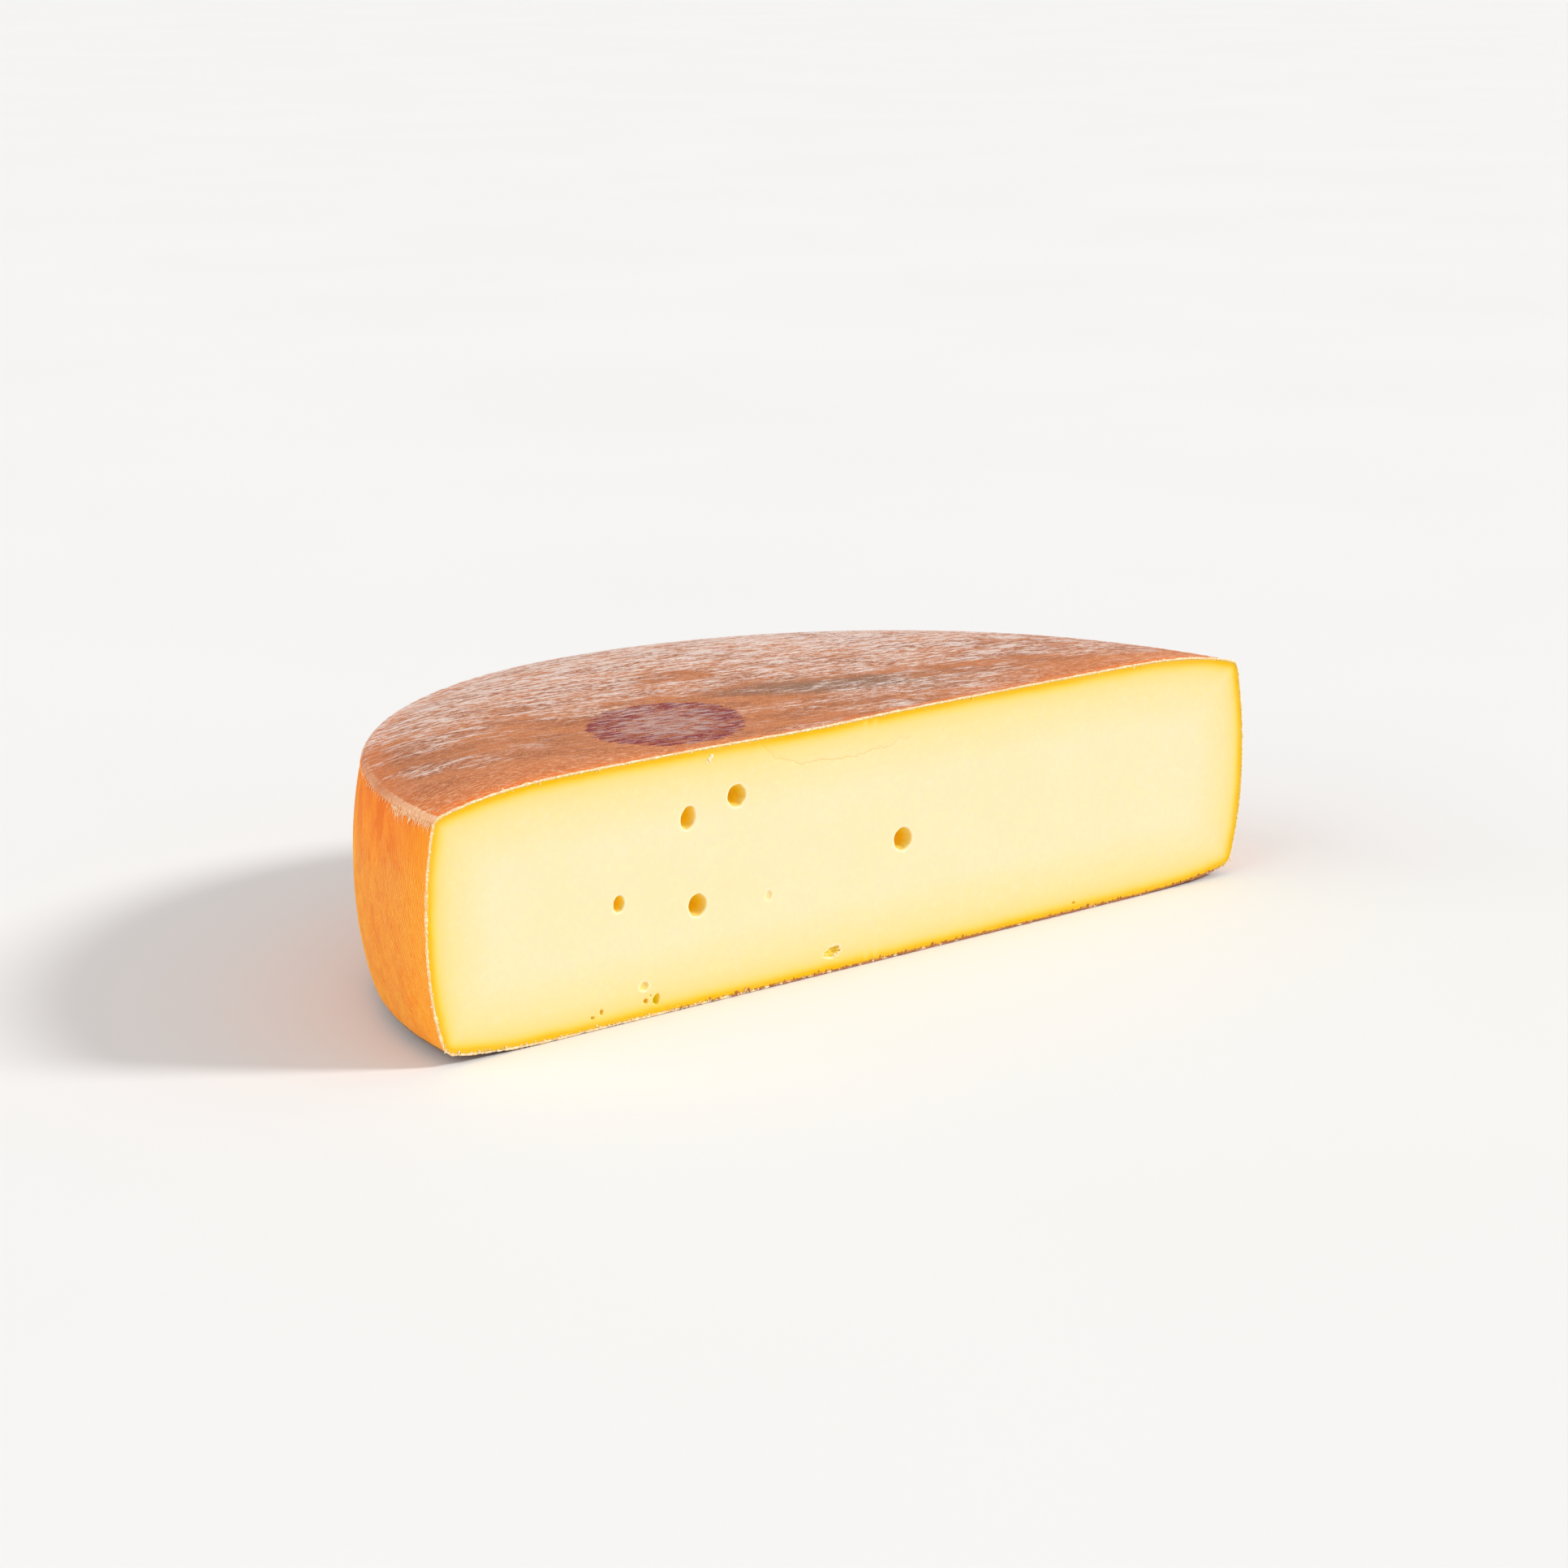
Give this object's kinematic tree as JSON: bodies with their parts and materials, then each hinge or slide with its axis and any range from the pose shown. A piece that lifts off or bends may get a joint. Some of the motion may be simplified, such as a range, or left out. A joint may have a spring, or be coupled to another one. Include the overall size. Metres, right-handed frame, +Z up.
{
  "type": "raclette half wheel",
  "caption": "Half of a round raclette cheese lying on its base, with a bulging brushed rind, a drooping top edge and a straight cut face with gas holes.",
  "frame": {"origin": "middle of the underside of the bounding box, on the surface that the half wheel rests on", "axes": "+X along the cut, the longest way; +Y away from the cut face, towards the round back; +Z up through the height, the shortest way"},
  "size_m": [0.2996, 0.143, 0.0725],
  "materials": {
    "paste": "smooth cut cheese with a soft waxy sheen, pale cream in the middle and deep yellow near the rind",
    "rind": "dry brushed rind, orange on the side and brown on the top, with a fine cloth weave and streaks of pale bloom"
  },
  "bodies": {
    "root": {"half_wheel": "paste"}
  },
  "joints": []
}
